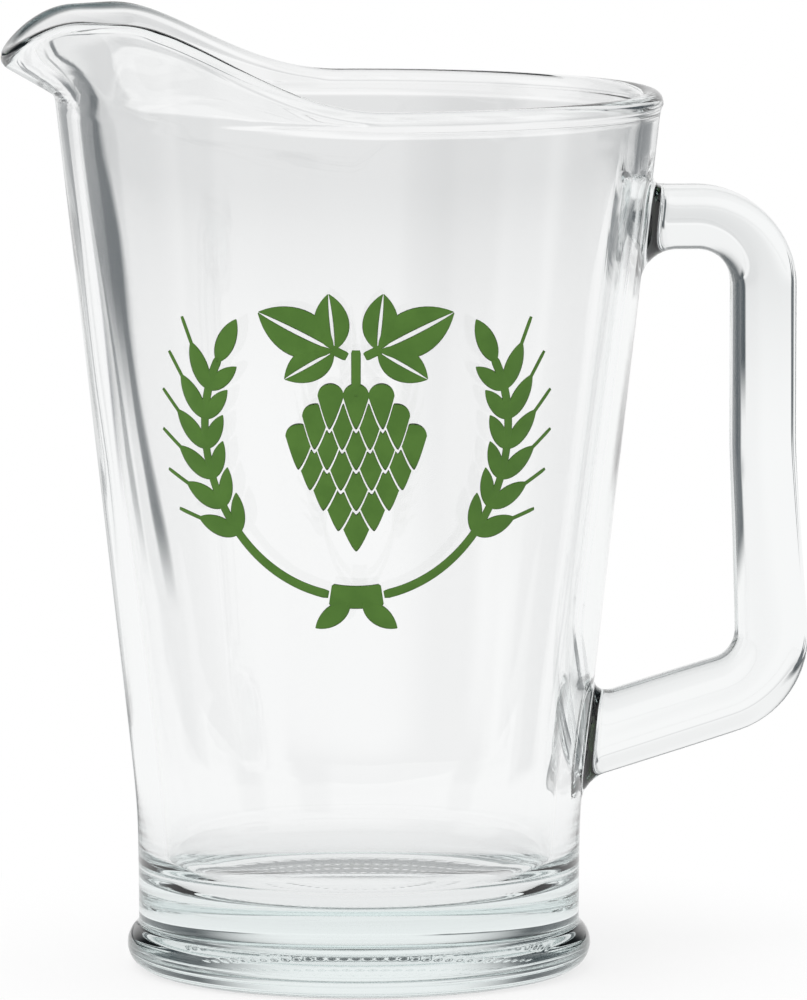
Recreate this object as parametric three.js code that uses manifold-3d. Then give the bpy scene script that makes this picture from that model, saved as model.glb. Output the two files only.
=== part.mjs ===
// A pressed clear-glass pitcher: a conical bowl on a beaded foot, its lip pulled out into a spout,
// a bent bar as its handle, and a one-colour fired print on the front.
// Millimetres, +Z up. The origin is on the bowl's axis at table height. The handle lies towards +X,
// the spout towards -X and the print faces -Y.
import * as THREE from 'three';
import { mergeVertices } from 'three/addons/utils/BufferGeometryUtils.js';
import { TessellateModifier } from 'three/addons/modifiers/TessellateModifier.js';
import Module from 'manifold-3d';

// Bowl: heights above the table, radii from the axis
const RIM_HEIGHT = 212;
const RIM_RADIUS = 72.9;
const HEEL_RADIUS = 53.1;
const CONE_START = 38;
const CONE_BLEND = 8;
const LIP_THICKNESS = 5.4;
const WALL_THICKNESS = 4.6;
const HEEL_THICKNESS = 6.5;
const FLOOR_HEIGHT = 20;
const FLOOR_FILLET = 10;
const FOOT_OVERHANG = 2.8;
const FOOT_BEAD_RADIUS = 5.9;
const FOOT_FILLET = 1.2;
const PANEL_RADIUS = 36;
const PANEL_RISE = 1;

// Spout: reach and heights are added to the plain lip, angles are turned from the spout's direction
const PULL_DEPTH = 13.7;
const SPOUT_REACH = 12.3;
const SPOUT_HALF_ANGLE = 42;
const WING_RISE = 18.8;
const WING_START_ANGLE = 90.5;
const WING_PEAK_ANGLE = 35;
const TIP_DIP = 7.8;
const TIP_HALF_ANGLE = 26;
const TIP_THICKNESS = 6.2;
const CORNER_DROP = 2;
const CORNER_LIFT = 3.2;
const OUTER_SOFTNESS = 1.4;
const INNER_SOFTNESS = 3;

// Handle: the bar's centre line and section
const UPPER_ARM_DROP = 31;
const FINGER_ROOM = 20.5;
const UPPER_BEND_RADIUS = 16.2;
const GRIP_LENGTH_STRAIGHT = 56;
const GRIP_LEAN = 3;
const GRIP_EASE_RADIUS = 160;
const LOWER_BEND_RADIUS = 15.6;
const LOWER_ARM_HEIGHT = 55;
const LOWER_ARM_SLOPE = 17;
const GRIP_THICKNESS = 15.4;
const LOWER_ARM_THICKNESS = 18.2;
const HANDLE_WIDTH = 18;
const SECTION_POWER = 3;
const UPPER_ROOT_FILLETS = { outer: 3.5, inner: 8, side: 5.5 };
const LOWER_ROOT_FILLETS = { outer: 5, inner: 5.5, side: 4 };

// Print: sizes on the unrolled wall, places from the print's centre
const PRINT_HEIGHT = 131;
const PRINT_TURN = -5;
const ENAMEL_THICKNESS = 0.4;
const STALK_WIDTH = 2.2;
const WREATH_RADIUS = 37.5;
const WREATH_RISE = 3.5;
const HEAD_FROM_ANGLE = -38;
const HEAD_TO_ANGLE = 28;
const STALK_OVERLAP_ANGLE = 2;
const GRAIN_LENGTH = 12.2;
const GRAIN_WIDTH = 5.4;
const GRAIN_PAIRS = 6;
const GRAIN_SPREAD_ANGLE = 36;
const INNER_GRAIN_SHARE = 0.82;
const AWN_LENGTH = 6;
const AWN_WIDTH = 1;
const TIE_HALF_ANGLE = 10;
const TIE_WIDTH = 5.6;
const TAIL_LENGTH = 11;
const TAIL_WIDTH = 5.6;
const TAIL_SPREAD_ANGLE = 56;
const CONE_TOP = 14;
const STEM_LENGTH = 11;
const SCALE_COUNTS = [3, 4, 5, 4, 3, 2, 1];
const SCALE_PITCH = 4.85;
const SCALE_LENGTH = 8;
const SCALE_RISE = 3.2;
const FIRST_SCALE_HALF_WIDTH = 2.9;
const LAST_SCALE_HALF_WIDTH = 4.1;
const LEAF_LENGTH = 19.5;
const LEAF_WIDTH = 13;
const LEAF_ANGLE = 27;
const LEAF_STALK_LENGTH = 3.2;
const LEAF_DROP = 1.6;
const LOBE_SPREAD_ANGLE = 58;
const SIDE_LOBE_SHARE = 0.7;

// Fits and facets
const SEAT_GAP = 0.3;
const PRINT_GAP = 0.4;
const BOWL_FACETS = 84;
const SPOUT_CROWDING = 0.4;
const SECTION_POINTS = 20;
const PRINT_EDGE = 6;
const BAR_RINGS = 40;
const STALK_POINTS = 20;
const ROOT_SKEW = 0.5;
const SEATING_PASSES = 6;

const wasm = await Module();
wasm.setup();

const rad = THREE.MathUtils.degToRad;
const lerp = THREE.MathUtils.lerp;
const clamp01 = (x) => THREE.MathUtils.clamp(x, 0, 1);
const ramp = (x) => 0.5 - 0.5 * Math.cos(Math.PI * clamp01(x));
const bell = (x) => 0.5 + 0.5 * Math.cos(Math.PI * clamp01(Math.abs(x)));
const spread = (count, from, to) => Array.from({ length: count }, (_, i) => lerp(from, to, i / (count - 1)));

// Closed skin over a list of rings with equal counts, with a fan over the first and the last ring
function skin(rings) {
  const count = rings[0].length;
  const middle = (ring) => ring.reduce((sum, p) => sum.add(p), new THREE.Vector3()).divideScalar(count);
  const points = [...rings.flat(), middle(rings[0]), middle(rings[rings.length - 1])];
  const first = points.length - 2;
  const last = points.length - 1;
  const index = [];
  for (let i = 0; i < count; i += 1) {
    const j = (i + 1) % count;
    index.push(first, j, i);
    index.push(last, last - 1 - count + i, last - 1 - count + j);
    for (let k = 0; k < rings.length - 1; k += 1) {
      const low = k * count;
      const high = low + count;
      index.push(low + i, low + j, high + j, low + i, high + j, high + i);
    }
  }
  const geometry = new THREE.BufferGeometry().setFromPoints(points);
  geometry.setIndex(index);
  return geometry;
}

// Geometry to solid and back, for joins and cuts
function toSolid(geometry) {
  const bare = geometry.clone();
  bare.deleteAttribute('normal');
  bare.deleteAttribute('uv');
  const merged = mergeVertices(bare, 1e-4);
  return new wasm.Manifold(new wasm.Mesh({
    numProp: 3,
    vertProperties: new Float32Array(merged.attributes.position.array),
    triVerts: new Uint32Array(merged.index.array),
  }));
}

function toGeometry(solid) {
  const { vertProperties, triVerts } = solid.getMesh();
  const geometry = new THREE.BufferGeometry();
  geometry.setAttribute('position', new THREE.BufferAttribute(vertProperties, 3));
  geometry.setIndex(new THREE.BufferAttribute(triVerts, 1));
  return geometry;
}

// The bowl's outer radius at a height: straight heel, eased into a straight cone
const taper = (RIM_RADIUS - HEEL_RADIUS) / (RIM_HEIGHT - CONE_START);

function wallRadius(z) {
  const above = z - CONE_START;
  return HEEL_RADIUS + (taper * (above + Math.hypot(above, CONE_BLEND))) / 2;
}

const pullHeight = RIM_HEIGHT - PULL_DEPTH;

function innerRadius(z) {
  const share = clamp01((z - FLOOR_HEIGHT) / (pullHeight - FLOOR_HEIGHT));
  return wallRadius(z) - lerp(HEEL_THICKNESS, WALL_THICKNESS, share);
}

// Angles round the bowl, turned from the spout's direction and crowded together there
const turns = Array.from({ length: BOWL_FACETS }, (_, i) => {
  const even = (2 * Math.PI * i) / BOWL_FACETS;
  return even - SPOUT_CROWDING * Math.sin(even);
});

const around = (turn, radius, z) => (
  new THREE.Vector3(-radius * Math.cos(turn), -radius * Math.sin(turn), z)
);
const circle = (radius, z) => turns.map((turn) => around(turn, radius, z));

// Spout: in any upright slice through the axis, the wall runs up to a corner and from there to the lip.
// Round the plain rim the two runs are in line. Slice points are [distance from the axis, height].
const lipHeight = RIM_HEIGHT - LIP_THICKNESS / 2;
const upWall = new THREE.Vector2(taper, 1).normalize();
const outOf = (way) => new THREE.Vector2(way.y, -way.x);
const middlePoint = (z) => new THREE.Vector2(wallRadius(z) - WALL_THICKNESS / 2, z);

function spoutSlice(turn) {
  const angle = Math.abs(THREE.MathUtils.radToDeg(Math.atan2(Math.sin(turn), Math.cos(turn))));
  const spout = bell(angle / SPOUT_HALF_ANGLE);
  const wing = ramp((WING_START_ANGLE - angle) / (WING_START_ANGLE - WING_PEAK_ANGLE));
  const rise = WING_RISE * wing - TIP_DIP * bell(angle / TIP_HALF_ANGLE);
  const corner = middlePoint(lipHeight - CORNER_DROP + (CORNER_DROP + CORNER_LIFT) * spout);
  const lip = middlePoint(lipHeight).add(new THREE.Vector2(SPOUT_REACH * spout, rise));
  const run = lip.clone().sub(corner).normalize();
  return { corner, lip, run, lipHalf: lerp(LIP_THICKNESS, TIP_THICKNESS, spout) / 2 };
}

// Nothing before a corner and the distance after it, joined by a parabola
function soften(distance, softness) {
  const near = THREE.MathUtils.clamp(distance + softness, 0, 2 * softness);
  return near ** 2 / (4 * softness) + Math.max(distance - softness, 0);
}

// One face of the pulled wall: up the cone to half way, then out to the lip. Each face has its own
// corner, where the offset lines of the two runs cross.
function pulledRing(share, side) {
  return turns.map((turn) => {
    const { corner, lip, run, lipHalf } = spoutSlice(turn);
    const mitre = outOf(upWall).add(outOf(run)).divideScalar(1 + outOf(upWall).dot(outOf(run)));
    const faceCorner = corner.clone().addScaledVector(mitre, (side * WALL_THICKNESS) / 2);
    const faceLip = lip.clone().addScaledVector(outOf(run), side * lipHalf);
    const depth = (faceCorner.y - pullHeight) / upWall.y;
    const length = faceLip.distanceTo(faceCorner);
    const along = depth * Math.min(2 * share - 1, 0) + length * Math.max(2 * share - 1, 0);
    const softness = side > 0 ? OUTER_SOFTNESS : INNER_SOFTNESS;
    const point = faceCorner.clone().addScaledVector(upWall, -soften(-along, softness));
    point.addScaledVector(faceLip.clone().sub(faceCorner).normalize(), soften(along, softness));
    return around(turn, point.x, point.y);
  });
}

// One ring of the rounded lip: a half circle in the slice, from the outer face over to the inner one
function lipRing(angle) {
  return turns.map((turn) => {
    const { lip, run, lipHalf } = spoutSlice(turn);
    const point = lip.clone().addScaledVector(outOf(run), lipHalf * Math.cos(angle));
    point.addScaledVector(run, lipHalf * Math.sin(angle));
    return around(turn, point.x, point.y);
  });
}

// Bowl: rings from the middle of the underside, up the outside, over the lip and down to the floor
function makeBowl() {
  const beadCentre = HEEL_RADIUS + FOOT_OVERHANG - FOOT_BEAD_RADIUS;
  const beadEnd = Math.acos((FOOT_BEAD_RADIUS - FOOT_OVERHANG) / FOOT_BEAD_RADIUS);
  const beadTop = FOOT_BEAD_RADIUS * (1 + Math.sin(beadEnd));
  const bead = spread(9, -Math.PI / 2, beadEnd - FOOT_FILLET / FOOT_BEAD_RADIUS).map((angle) => circle(
    beadCentre + FOOT_BEAD_RADIUS * Math.cos(angle),
    FOOT_BEAD_RADIUS * (1 + Math.sin(angle)),
  ));
  const blendHeights = spread(5, CONE_START - CONE_BLEND, CONE_START + CONE_BLEND);
  const coneHeights = spread(4, CONE_START + 2 * CONE_BLEND, pullHeight);
  const outer = [beadTop + FOOT_FILLET, ...blendHeights, ...coneHeights].map((z) => circle(wallRadius(z), z));
  const shares = [0.42, 0.5, 0.58, 0.79, 1];
  const pulledOutside = shares.map((share) => pulledRing(share, 1));
  const lip = spread(7, 0, Math.PI).slice(1, -1).map(lipRing);
  const pulledInside = shares.toReversed().map((share) => pulledRing(share, -1));
  const filletTop = FLOOR_HEIGHT + FLOOR_FILLET;
  const inner = spread(5, pullHeight, filletTop).map((z) => circle(innerRadius(z), z));
  const fillet = spread(7, 0, Math.PI / 2).slice(1).map((angle) => circle(
    innerRadius(filletTop) - FLOOR_FILLET * (1 - Math.cos(angle)),
    filletTop - FLOOR_FILLET * Math.sin(angle),
  ));
  return skin([
    circle(PANEL_RADIUS, PANEL_RISE),
    circle(PANEL_RADIUS + PANEL_RISE, 0),
    ...bead,
    ...outer,
    ...pulledOutside,
    ...lip,
    ...pulledInside,
    ...inner,
    ...fillet,
  ]);
}

// A path through corner points in the XZ plane, each inner corner rounded by its radius
function roundedPath(corners, radii) {
  const path = new THREE.CurvePath();
  let from = corners[0];
  radii.forEach((radius, i) => {
    const corner = corners[i + 1];
    const before = corners[i].clone().sub(corner).normalize();
    const after = corners[i + 2].clone().sub(corner).normalize();
    const half = before.angleTo(after) / 2;
    const start = corner.clone().addScaledVector(before, radius / Math.tan(half));
    const middle = before.clone().add(after).normalize();
    const centre = corner.clone().addScaledVector(middle, radius / Math.sin(half));
    const startAngle = start.clone().sub(centre).angle();
    const end = corner.clone().addScaledVector(after, radius / Math.tan(half));
    const endAngle = end.clone().sub(centre).angle();
    const clockwise = before.cross(after) > 0;
    path.add(new THREE.LineCurve(from, start));
    path.add(new THREE.EllipseCurve(centre.x, centre.y, radius, radius, startAngle, endAngle, clockwise));
    from = end;
  });
  path.add(new THREE.LineCurve(from, corners[corners.length - 1]));
  return path;
}

// Centre line of the handle: upper arm, grip that leans out towards its foot, lower arm
function handlePath() {
  const upperHeight = RIM_HEIGHT - UPPER_ARM_DROP;
  const gripRadius = wallRadius(upperHeight) + FINGER_ROOM + GRIP_THICKNESS / 2;
  const leanFrom = upperHeight - GRIP_LENGTH_STRAIGHT;
  const lean = Math.tan(rad(GRIP_LEAN));
  const slope = Math.tan(rad(LOWER_ARM_SLOPE));
  const lowerRadius = wallRadius(LOWER_ARM_HEIGHT);
  const drop = (leanFrom - LOWER_ARM_HEIGHT - slope * (gripRadius - lowerRadius)) / (1 + slope * lean);
  const corners = [
    new THREE.Vector2(wallRadius(upperHeight), upperHeight),
    new THREE.Vector2(gripRadius, upperHeight),
    new THREE.Vector2(gripRadius, leanFrom),
    new THREE.Vector2(gripRadius + lean * drop, leanFrom - drop),
    new THREE.Vector2(lowerRadius, LOWER_ARM_HEIGHT),
  ];
  return roundedPath(corners, [UPPER_BEND_RADIUS, GRIP_EASE_RADIUS, LOWER_BEND_RADIUS]);
}

// How far a fillet of this radius stands off the bar, at this distance from the wall
function flare(distance, radius) {
  const inside = radius - THREE.MathUtils.clamp(distance, 0, radius);
  return radius - Math.sqrt(radius ** 2 - inside ** 2);
}

// Section of the bar: a soft rectangle, made by drawing a circle's waves towards their peaks
const squared = (wave) => Math.sign(wave) * Math.abs(wave) ** (2 / SECTION_POWER);
const section = Array.from({ length: SECTION_POINTS }, (_, i) => {
  const angle = (-2 * Math.PI * i) / SECTION_POINTS;
  return { across: squared(Math.cos(angle)), side: squared(Math.sin(angle)) };
});

// A ring of the bar at a root, everywhere this far from the wall, with its share of the fillet
function rootRing(centre, arm, thickness, fillets, distance, scale) {
  const outward = new THREE.Vector3(-arm.y, 0, arm.x);
  const away = new THREE.Vector3(arm.x, 0, arm.y).multiplyScalar(Math.sign(arm.x));
  const flareSide = flare(distance, fillets.side);
  return section.map(({ across, side }) => {
    const flareAcross = flare(distance, across > 0 ? fillets.outer : fillets.inner);
    const point = new THREE.Vector3(centre.x, 0, centre.y);
    point.addScaledVector(outward, scale * across * (thickness / 2 + flareAcross));
    point.y = scale * side * (HANDLE_WIDTH / 2 + flareSide);
    for (let pass = 0; pass < SEATING_PASSES; pass += 1) {
      point.addScaledVector(away, distance - (Math.hypot(point.x, point.y) - wallRadius(point.z)));
    }
    return point;
  });
}

// All rings of one root, from the middle of its seat on the wall outwards
function rootRings(centre, arm, thickness, fillets) {
  const reach = Math.max(...Object.values(fillets));
  const seat = [0.3, 0.65].map((scale) => rootRing(centre, arm, thickness, fillets, SEAT_GAP, scale));
  const fillet = spread(7, 0, 1).map((share) => (
    rootRing(centre, arm, thickness, fillets, lerp(SEAT_GAP, reach, share ** 2), 1)
  ));
  return [...seat, ...fillet];
}

// The bar thickens between these shares of its length
const THICKEN_FROM = 0.4;
const THICKEN_TO = 0.9;

// Handle: the section carried along the path, flared into a fillet where each end seats on the wall
function makeHandle() {
  const path = handlePath();
  const length = path.getLength();
  const thicken = (share) => ramp((share - THICKEN_FROM) / (THICKEN_TO - THICKEN_FROM));
  const thicknessAt = (share) => lerp(GRIP_THICKNESS, LOWER_ARM_THICKNESS, thicken(share));
  const upper = rootRings(path.getPointAt(0), path.getTangentAt(0), thicknessAt(0), UPPER_ROOT_FILLETS);
  const lower = rootRings(path.getPointAt(1), path.getTangentAt(1), thicknessAt(1), LOWER_ROOT_FILLETS);
  const clearOf = (fillets) => Math.max(...Object.values(fillets)) + (LOWER_ARM_THICKNESS / 2) * ROOT_SKEW;
  const stations = spread(BAR_RINGS, clearOf(UPPER_ROOT_FILLETS), length - clearOf(LOWER_ROOT_FILLETS));
  const bar = stations.map((station) => {
    const share = station / length;
    const centre = path.getPointAt(share);
    const tangent = path.getTangentAt(share);
    const outward = new THREE.Vector3(-tangent.y, 0, tangent.x);
    return section.map(({ across, side }) => (
      new THREE.Vector3(centre.x, (side * HANDLE_WIDTH) / 2, centre.y)
        .addScaledVector(outward, (across * thicknessAt(share)) / 2)
    ));
  });
  return skin([...upper, ...bar, ...lower.toReversed()]);
}

// Flat print shapes: drawn on the unrolled wall, u to the viewer's right and v up
const flat = (u, v) => new THREE.Vector2(u, v);
const place2 = (point, origin, angle) => point.clone().rotateAround(new THREE.Vector2(), angle).add(origin);

// A pointed blade from its root, along an angle: its bulges pull each side out as shares of its size
const ROOT_BULGE = flat(0.22, 0.62);
const TIP_BULGE = flat(0.72, 0.55);

function blade(origin, angle, length, width) {
  const shape = new THREE.Shape();
  const tip = place2(flat(length, 0), origin, angle);
  const pull = (side, bulge) => place2(flat(bulge.x * length, side * bulge.y * width), origin, angle);
  const right = [pull(-1, ROOT_BULGE), pull(-1, TIP_BULGE)];
  const left = [pull(1, TIP_BULGE), pull(1, ROOT_BULGE)];
  shape.moveTo(origin.x, origin.y);
  shape.bezierCurveTo(right[0].x, right[0].y, right[1].x, right[1].y, tip.x, tip.y);
  shape.bezierCurveTo(left[0].x, left[0].y, left[1].x, left[1].y, origin.x, origin.y);
  return shape;
}

// A strip of even width along a list of points
function strip(points, width) {
  const sides = points.map((point, i) => {
    const ahead = points[Math.min(i + 1, points.length - 1)];
    const behind = points[Math.max(i - 1, 0)];
    const across = ahead.clone().sub(behind).normalize().rotateAround(new THREE.Vector2(), Math.PI / 2);
    return [
      point.clone().addScaledVector(across, -width / 2),
      point.clone().addScaledVector(across, width / 2),
    ];
  });
  return new THREE.Shape([...sides.map((side) => side[0]), ...sides.toReversed().map((side) => side[1])]);
}

// Shapes to one patch of enamel: thickened, joined, cut into small facets and rolled onto the wall
function enamelPatch(shapes) {
  const settings = { depth: ENAMEL_THICKNESS, bevelEnabled: false, curveSegments: 5 };
  const solids = shapes.map((shape) => toSolid(new THREE.ExtrudeGeometry(shape, settings)));
  const joined = toGeometry(solids.reduce((sum, solid) => sum.add(solid)));
  const fine = new TessellateModifier(PRINT_EDGE, 12).modify(joined);
  const position = fine.attributes.position;
  const point = new THREE.Vector3();
  for (let i = 0; i < position.count; i += 1) {
    point.fromBufferAttribute(position, i);
    const turn = rad(PRINT_TURN) + point.x / wallRadius(PRINT_HEIGHT);
    const z = PRINT_HEIGHT + point.y;
    const radius = wallRadius(z) + SEAT_GAP + point.z;
    position.setXYZ(i, radius * Math.sin(turn), -radius * Math.cos(turn), z);
  }
  return mergeVertices(fine, 1e-4);
}

// A point of the wreath that the two ears and the tie lie on
const onWreath = (side, angle) => flat(
  side * WREATH_RADIUS * Math.cos(rad(angle)),
  WREATH_RISE + WREATH_RADIUS * Math.sin(rad(angle)),
);

// Barley: a stalk from the tie along a half wreath, pairs of grains up its head and one at its end.
// The outer grains are larger, and each ends in an awn.
function makeBarley(side) {
  const heading = (angle) => onWreath(side, angle + 1).sub(onWreath(side, angle - 1)).angle();
  const stalkFrom = -90 + TIE_HALF_ANGLE + THREE.MathUtils.radToDeg(PRINT_GAP / WREATH_RADIUS);
  const stalkAngles = spread(STALK_POINTS, stalkFrom, HEAD_TO_ANGLE + STALK_OVERLAP_ANGLE);
  const stalk = strip(stalkAngles.map((angle) => onWreath(side, angle)), STALK_WIDTH);
  const grain = (angle, turn, size) => (
    blade(onWreath(side, angle), heading(angle) + rad(turn), GRAIN_LENGTH * size, GRAIN_WIDTH * size)
  );
  const awn = (angle, turn) => {
    const reach = [GRAIN_LENGTH / 2, GRAIN_LENGTH + AWN_LENGTH];
    const way = heading(angle) + rad(turn);
    return strip(reach.map((along) => place2(flat(along, 0), onWreath(side, angle), way)), AWN_WIDTH);
  };
  const outward = -side * GRAIN_SPREAD_ANGLE;
  const pairs = spread(GRAIN_PAIRS + 1, HEAD_FROM_ANGLE, HEAD_TO_ANGLE).slice(0, -1).flatMap((angle) => [
    grain(angle, outward, 1),
    awn(angle, outward),
    grain(angle, -outward, INNER_GRAIN_SHARE),
  ]);
  return enamelPatch([stalk, ...pairs, grain(HEAD_TO_ANGLE, 0, 1)]);
}

// Tie: a band round the two stalks, with two tails
function makeTie() {
  const band = spread(7, -90 - TIE_HALF_ANGLE, -90 + TIE_HALF_ANGLE).map((angle) => onWreath(1, angle));
  const tails = [-1, 1].map((side) => blade(
    flat((side * TIE_WIDTH) / 4, WREATH_RISE - WREATH_RADIUS - TIE_WIDTH / 4),
    rad(-90 + side * TAIL_SPREAD_ANGLE),
    TAIL_LENGTH,
    TAIL_WIDTH,
  ));
  return enamelPatch([strip(band, TIE_WIDTH), ...tails]);
}

// Hop scale: a round top, and a lower edge that comes to a point and leans away from the middle
const SCALE_LEAN = 0.22;
const SCALE_POINTEDNESS = 1.35;
const SCALE_OVERLAP = 1.04;

function hopScale(row, middle, half, lean) {
  const base = CONE_TOP - row * SCALE_PITCH;
  const arch = (x) => {
    const fromTip = x > lean ? (x - lean) / (1 - lean) : (lean - x) / (1 + lean);
    return SCALE_LENGTH * (1 - fromTip ** SCALE_POINTEDNESS);
  };
  const below = [...spread(4, -1, lean), ...spread(4, lean, 1).slice(1)];
  const above = spread(6, 0, Math.PI).slice(1, -1);
  return new THREE.Shape([
    ...below.map((x) => flat(middle + half * x, base - arch(x))),
    ...above.map((angle) => flat(middle + half * Math.cos(angle), base + SCALE_RISE * Math.sin(angle))),
  ]);
}

// Hop cone: rows of overlapping scales on a stem, widest in the upper rows
function makeHopCone() {
  const stem = strip([flat(0, CONE_TOP + STEM_LENGTH), flat(0, CONE_TOP)], STALK_WIDTH);
  const lastRow = SCALE_COUNTS.length - 1;
  const scales = SCALE_COUNTS.flatMap((count, row) => {
    const half = lerp(FIRST_SCALE_HALF_WIDTH, LAST_SCALE_HALF_WIDTH, row / lastRow);
    return Array.from({ length: count }, (_, i) => {
      const place = 2 * i - count + 1;
      return hopScale(row, place * half, half * SCALE_OVERLAP, (SCALE_LEAN * place) / count);
    });
  });
  return enamelPatch([stem, ...scales]);
}

// Hop leaf: three pointed lobes on a short stalk that starts beside the cone's stem
function makeHopLeaf(side) {
  const angleOf = (turn) => (side > 0 ? rad(turn) : rad(180 - turn));
  const middle = angleOf(LEAF_ANGLE);
  const clear = (STALK_WIDTH / 2) * (1 + Math.sin(rad(LEAF_ANGLE))) + PRINT_GAP;
  const root = flat(side * clear, CONE_TOP + STEM_LENGTH - LEAF_DROP);
  const stalkEnd = place2(flat(LEAF_STALK_LENGTH, 0), root, middle);
  const lobes = [0, LOBE_SPREAD_ANGLE, -LOBE_SPREAD_ANGLE].map((turn) => {
    const size = turn === 0 ? 1 : SIDE_LOBE_SHARE;
    return blade(stalkEnd, angleOf(LEAF_ANGLE + turn), LEAF_LENGTH * size, LEAF_WIDTH * size);
  });
  const stalk = strip([root, place2(flat(STALK_WIDTH / 2, 0), stalkEnd, middle)], STALK_WIDTH);
  return enamelPatch([stalk, ...lobes]);
}

const clearGlass = { color: 0xe8eeec, roughness: 0.05, metalness: 0, transparent: true, opacity: 0.35 };
const greenEnamel = { color: 0x4f7934, roughness: 0.35, metalness: 0 };

function addMesh(group, name, geometry, look) {
  geometry.computeVertexNormals();
  const mesh = new THREE.Mesh(geometry, new THREE.MeshStandardMaterial(look));
  mesh.name = name;
  group.add(mesh);
}

const pitcher = new THREE.Group();
addMesh(pitcher, 'bowl', makeBowl(), clearGlass);
addMesh(pitcher, 'handle', makeHandle(), clearGlass);
addMesh(pitcher, 'enamel_hop_cone', makeHopCone(), greenEnamel);
addMesh(pitcher, 'enamel_hop_leaf_left', makeHopLeaf(-1), greenEnamel);
addMesh(pitcher, 'enamel_hop_leaf_right', makeHopLeaf(1), greenEnamel);
addMesh(pitcher, 'enamel_barley_left', makeBarley(-1), greenEnamel);
addMesh(pitcher, 'enamel_barley_right', makeBarley(1), greenEnamel);
addMesh(pitcher, 'enamel_tie', makeTie(), greenEnamel);

export default pitcher;
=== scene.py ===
# %% [markdown]
# # A pressed-glass pitcher
#
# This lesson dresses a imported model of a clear-glass pitcher: a conical bowl on a beaded foot, a lip
# that is pulled out into a spout, a bar handle fused to the wall, and a one-colour print that is
# fired onto the front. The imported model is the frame: it gives the pieces their size and place.
# Glass is all edges and light, so the lesson spends its effort on true curved surfaces, on one
# unbroken body of glass, and on a studio for the glass to bend.

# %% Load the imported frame
import math

import bpy
import numpy as np
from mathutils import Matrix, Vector


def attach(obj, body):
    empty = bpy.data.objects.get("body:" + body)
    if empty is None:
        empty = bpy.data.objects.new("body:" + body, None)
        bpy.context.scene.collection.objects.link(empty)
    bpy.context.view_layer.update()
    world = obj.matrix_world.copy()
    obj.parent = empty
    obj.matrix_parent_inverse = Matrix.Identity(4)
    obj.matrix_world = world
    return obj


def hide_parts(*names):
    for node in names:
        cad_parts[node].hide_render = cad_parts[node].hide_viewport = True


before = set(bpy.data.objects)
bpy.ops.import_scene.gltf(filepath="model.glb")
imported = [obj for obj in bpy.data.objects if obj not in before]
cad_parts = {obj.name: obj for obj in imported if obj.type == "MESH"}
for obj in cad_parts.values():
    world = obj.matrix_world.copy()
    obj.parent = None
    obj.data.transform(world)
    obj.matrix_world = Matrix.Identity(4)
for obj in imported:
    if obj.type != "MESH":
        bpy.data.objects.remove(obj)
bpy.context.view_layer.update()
print("frame nodes:", sorted(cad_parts))

# %% [markdown]
# ## The camera
#
# The photograph was taken from a good distance with a long lens, a little above the rim and turned
# a few degrees towards the spout: the ellipses of the foot, the floor and the rim fix the height,
# and the small difference between the two ends of the pitcher fixes the distance. A long lens keeps
# the wall's two sides nearly parallel, as catalogue pictures do.

# %% Camera
MM = 0.001
CAMERA_TURN = math.radians(-4.7)
CAMERA_LIFT = math.radians(6.6)
CAMERA_DISTANCE = 2440 * MM
CAMERA_AIM = Vector((10.8, 0, 113)) * MM
CAMERA_LENS = 364.9

back = Vector((
    math.sin(CAMERA_TURN) * math.cos(CAMERA_LIFT),
    -math.cos(CAMERA_TURN) * math.cos(CAMERA_LIFT),
    math.sin(CAMERA_LIFT),
))
camera_data = bpy.data.cameras.new("camera")
camera_data.lens = CAMERA_LENS
camera_data.sensor_width = 36
camera_data.clip_end = 50
camera = bpy.data.objects.new("camera", camera_data)
camera.location = CAMERA_AIM + back * CAMERA_DISTANCE
camera.rotation_euler = back.to_track_quat("Z", "Y").to_euler()
bpy.context.scene.collection.objects.link(camera)
bpy.context.scene.camera = camera
bpy.context.scene.view_settings.view_transform = "Standard"
print("camera at", tuple(round(c, 3) for c in camera.location))

# %% [markdown]
# ## From arrays to meshes
#
# Every surface below is worked out in millimetres as a stack of closed rings. Two helpers turn a
# stack into a Blender mesh: one joins neighbouring rings with faces, and one writes the mesh in
# metres. A ring may have twice as many points as the next one, so that the fine marks under the
# foot don't force a fine mesh on the plain wall.

# %% Rings to a closed skin
def join_rings(low, high, low_count, high_count):
    """Faces between two closed rings that start at vertex numbers low and high.

    Rings of equal count get quads. A ring of twice the count gets three triangles for each edge of
    the coarser one."""
    i = np.arange(min(low_count, high_count))
    j = (i + 1) % len(i)
    if low_count == high_count:
        return np.stack([low + i, low + j, high + j, high + i], 1).tolist()
    even = low + 2 * i
    odd = even + 1
    after = low + 2 * j
    fans = [(even, odd, high + i), (odd, high + j, high + i), (odd, after, high + j)]
    return np.concatenate([np.stack(fan, 1) for fan in fans]).tolist()


def closed_skin(rings):
    """A closed surface over a list of rings, with a fan to the middle of the first and the last one."""
    counts = [len(ring) for ring in rings]
    starts = np.concatenate([[0], np.cumsum(counts)])
    faces = []
    for k in range(len(rings) - 1):
        faces += join_rings(starts[k], starts[k + 1], counts[k], counts[k + 1])
    total = starts[-1]
    first = np.arange(counts[0])
    last = starts[-2] + np.arange(counts[-1])
    faces += np.stack([np.full(counts[0], total), np.roll(first, -1), first], 1).tolist()
    faces += np.stack([np.full(counts[-1], total + 1), last, np.roll(last, -1)], 1).tolist()
    middles = np.stack([rings[0].mean(0), rings[-1].mean(0)])
    return np.concatenate([*rings, middles]), faces


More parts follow.
